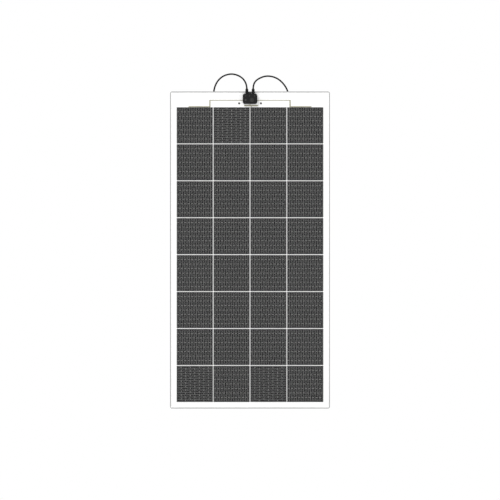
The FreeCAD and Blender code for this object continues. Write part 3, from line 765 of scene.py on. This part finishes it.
class SOLAR_OT_collector_nets(bpy.types.Operator):
    """Make the metal net on each cell, with its tabs across the gaps, and finish the cells"""
    bl_idname = "solar_sheet.collector_nets"
    bl_label = "Collector Nets"

    def one_cell(self, place, sizes):
        """The wires and staggered rungs of one cell, centred on the origin."""
        half = place["cell"] / 2
        rear, front = place["wire_rear"], place["wire_front"]
        first = -(sizes.wire_count - 1) * sizes.wire_pitch / 2
        width = sizes.wire_width / 2
        wire = block("wire", (first - width, front, -half), (first + width, rear, half))
        repeat(wire, sizes.wire_count, (sizes.wire_pitch, 0, 0))
        parts = [wire]
        rung_pitch = place["cell"] / (sizes.rung_rows + 1)
        rung = sizes.rung_width / 2
        pairs = (sizes.wire_count - 1) // 2
        for start in (0, 1):
            x = first + start * sizes.wire_pitch
            z = half - rung_pitch * (start + 1)
            bar = block("rung", (x, front, z - rung), (x + sizes.wire_pitch, rear, z + rung))
            repeat(bar, pairs, (2 * sizes.wire_pitch, 0, 0))
            repeat(bar, (sizes.rung_rows + 1 - start) // 2, (0, 0, -2 * rung_pitch))
            parts.append(bar)
        return join_pieces(parts, "cell_net")

    def tabs(self, x, low, high, place, sizes):
        """A row of tabs under the wires of an upright cell centred on x."""
        first = x - (sizes.wire_count - 1) * sizes.wire_pitch / 2
        width = sizes.tab_width / 2
        tab = block("tab", (first - width, place["wire_front"] + TAB_STEP, low),
                    (first + width, place["wire_rear"], high))
        repeat(tab, sizes.wire_count, (sizes.wire_pitch, 0, 0))
        return tab

    def execute(self, context):
        sizes = context.scene.solar_sizes
        colours = context.scene.solar_colours
        place = layout()
        tinned = metal_finish("tinned_wire", tuple(colours.wire), roughness=0.45, metallic=0.4,
                              streak=(1, 1, 0.1))
        silicon = cell_finish(colours, place)
        pattern = self.one_cell(place, sizes)
        half = place["cell"] / 2
        tab_length = (place["row_pitch"] - place["cell"] - sizes.tab_slit) / 2
        column_gap = place["column_pitch"] - place["cell"]
        for row in range(1, ROWS + 1):
            parts = []
            middle = cell_top(place, row) - half
            for column in range(1, COLUMNS + 1):
                x = place["left"] + half + (column - 1) * place["column_pitch"]
                turned = (row, column) in TURNED_CELLS
                turn = QUARTER_TURN if turned else 0.0
                parts.append(copy_piece(pattern, "net", turn, (x, 0, middle)))
                if row < ROWS:
                    parts.append(self.tabs(x, middle - half - tab_length, middle - half + sizes.tab_reach,
                                           place, sizes))
                if row > 1:
                    parts.append(self.tabs(x, middle + half - sizes.tab_reach, middle + half + tab_length,
                                           place, sizes))
                if turned:
                    across = self.tabs(0, half - sizes.tab_reach, half + column_gap + sizes.tab_reach,
                                       place, sizes)
                    parts.append(copy_piece(across, "across", QUARTER_TURN, (x, 0, middle)))
                    bpy.data.objects.remove(across)
            net = join_pieces(parts, f"collector_net_{row}")
            dress(net, tinned)
            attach(net, f"strip_{row}")
            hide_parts(f"wires_row_{row}")
            dress(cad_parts[f"cells_row_{row}"], silicon)
        bpy.data.objects.remove(pattern)
        return {"FINISHED"}


class SOLAR_OT_ribbons(bpy.types.Operator):
    """Finish the ribbons and the polarity discs in the top margin"""
    bl_idname = "solar_sheet.ribbons"
    bl_label = "Ribbons and Discs"

    def execute(self, context):
        colours = context.scene.solar_colours
        ribbon = metal_finish("tinned_ribbon", tuple(colours.ribbon), roughness=0.4, metallic=0.45,
                              streak=(0.1, 1, 1))
        dress(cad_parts["bus_ribbons"], ribbon)
        disc = disc_finish(tuple(colours.plastic), pale=(0.12, 0.12, 0.12))
        dress(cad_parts["polarity_discs"], disc)
        return {"FINISHED"}


class SOLAR_OT_junction_box(bpy.types.Operator):
    """Finish the junction box, its lid, hinge, seals, clamps, diodes and glands"""
    bl_idname = "solar_sheet.junction_box"
    bl_label = "Junction Box"

    def execute(self, context):
        plastic = tuple(context.scene.solar_colours.plastic)
        housing = moulded_finish("housing_plastic", plastic, roughness=0.48, grain_scale=1400.0,
                                 depth=0.06 * MM)
        nut = moulded_finish("nut_plastic", shade_of(plastic, 1.2), roughness=0.4, grain_scale=1100.0,
                             depth=0.03 * MM)
        seal = moulded_finish("seal_rubber", (0.03, 0.03, 0.03), roughness=0.7, grain_scale=800.0,
                              depth=0.03 * MM)
        steel = metal_finish("pin_steel", (0.55, 0.55, 0.56), roughness=0.25, metallic=1.0,
                             streak=(0.1, 1, 1))
        brass = metal_finish("clamp_brass", (0.65, 0.47, 0.2), roughness=0.35, metallic=1.0,
                             streak=(1, 0.2, 1))
        epoxy = moulded_finish("diode_epoxy", (0.02, 0.02, 0.02), roughness=0.25, grain_scale=500.0,
                               depth=0.02 * MM)
        # The pale grey is a painted highlight on the lid's moulded marks.
        lid = lid_finish(plastic, pale=(0.055, 0.055, 0.052))
        finishes = {"box_base": housing, "box_lid": lid, "adhesive_pad": seal, "lid_gasket": seal,
                    "gland_seals": seal, "hinge_pin": steel, "terminal_clamps": brass,
                    "bypass_diodes": epoxy, "gland_nut_left": nut, "gland_nut_right": nut}
        for node, finish in finishes.items():
            dress(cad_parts[node], finish)
        return {"FINISHED"}


class SOLAR_OT_clamp_screws(bpy.types.Operator):
    """Add a slotted screw head to the front of each terminal clamp"""
    bl_idname = "solar_sheet.clamp_screws"
    bl_label = "Clamp Screws"

    def execute(self, context):
        sizes = context.scene.solar_sizes
        low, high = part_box("terminal_clamps")
        width = high.z - low.z
        middle = (low.z + high.z) / 2
        steel = metal_finish("screw_steel", (0.5, 0.5, 0.5), roughness=0.3, metallic=1.0,
                             streak=(0.1, 1, 1))
        clear_selection()
        bpy.ops.mesh.primitive_cylinder_add(
            vertices=40, radius=sizes.screw_radius, depth=sizes.screw_height,
            location=(low.x + width / 2, low.y - sizes.screw_height / 2, middle), rotation=(QUARTER_TURN, 0, 0))
        bpy.ops.object.transform_apply(location=True, rotation=True, scale=True)
        screw = context.object
        slot = block("slot", (low.x, low.y - 2 * sizes.screw_height, middle - sizes.screw_slot / 2),
                     (low.x + width, low.y - sizes.screw_height / 2, middle + sizes.screw_slot / 2))
        make_active(screw)
        cut = screw.modifiers.new("Slot", "BOOLEAN")
        cut.operation = "DIFFERENCE"
        cut.object = slot
        bpy.ops.object.modifier_apply(modifier=cut.name)
        bpy.data.objects.remove(slot)
        smooth(screw)
        step = (high.x - low.x - width) / 2
        screws = [screw] + [copy_piece(screw, "screw", 0.0, (step * n, 0, 0)) for n in (1, 2)]
        screws = join_pieces(screws, "clamp_screws")
        dress(screws, steel)
        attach(screws, "strip_1")
        return {"FINISHED"}


class SOLAR_OT_connectors(bpy.types.Operator):
    """Finish the two connectors on the leads' ends"""
    bl_idname = "solar_sheet.connectors"
    bl_label = "Connectors"

    def execute(self, context):
        plastic = tuple(context.scene.solar_colours.plastic)
        housing = moulded_finish("connector_plastic", plastic, roughness=0.42, grain_scale=1200.0,
                                 depth=0.04 * MM)
        plated = metal_finish("contact_plating", (0.72, 0.71, 0.68), roughness=0.22, metallic=1.0,
                              streak=(1, 1, 0.1))
        finishes = {"pin_housing": housing, "socket_housing": housing, "connector_nut_left": housing,
                    "connector_nut_right": housing, "contact_pin": plated, "contact_sleeve": plated}
        for node, finish in finishes.items():
            dress(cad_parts[node], finish)
        return {"FINISHED"}


OPERATORS = (SOLAR_OT_stage, SOLAR_OT_leads, SOLAR_OT_laminate, SOLAR_OT_collector_nets, SOLAR_OT_ribbons,
             SOLAR_OT_junction_box, SOLAR_OT_clamp_screws, SOLAR_OT_connectors)


class SOLAR_PT_panel(bpy.types.Panel):
    """Lists the sheet's settings and its building steps"""
    bl_idname = "SOLAR_PT_panel"
    bl_label = "Solar Sheet"
    bl_space_type = "VIEW_3D"
    bl_region_type = "UI"
    bl_category = "Solar Sheet"

    def draw(self, context):
        for group in (context.scene.solar_sizes, context.scene.solar_colours):
            box = self.layout.box()
            for name in group.__annotations__:
                box.prop(group, name)
        for operator in OPERATORS:
            self.layout.operator(operator.bl_idname)


CLASSES = (SheetSizes, SheetColours, *OPERATORS, SOLAR_PT_panel)


def register():
    """Add the settings, the operators and the panel to Blender."""
    for item in CLASSES:
        bpy.utils.register_class(item)
    bpy.types.Scene.solar_sizes = PointerProperty(type=SheetSizes)
    bpy.types.Scene.solar_colours = PointerProperty(type=SheetColours)


def unregister():
    """Take them out again."""
    del bpy.types.Scene.solar_colours
    del bpy.types.Scene.solar_sizes
    for item in reversed(CLASSES):
        bpy.utils.unregister_class(item)


def main():
    """Build the sheet, one group of pieces after another."""
    register()
    bpy.ops.solar_sheet.stage()
    bpy.ops.solar_sheet.leads()
    bpy.ops.solar_sheet.laminate()
    bpy.ops.solar_sheet.collector_nets()
    bpy.ops.solar_sheet.ribbons()
    bpy.ops.solar_sheet.junction_box()
    bpy.ops.solar_sheet.clamp_screws()
    bpy.ops.solar_sheet.connectors()


if __name__ == "__main__":
    main()
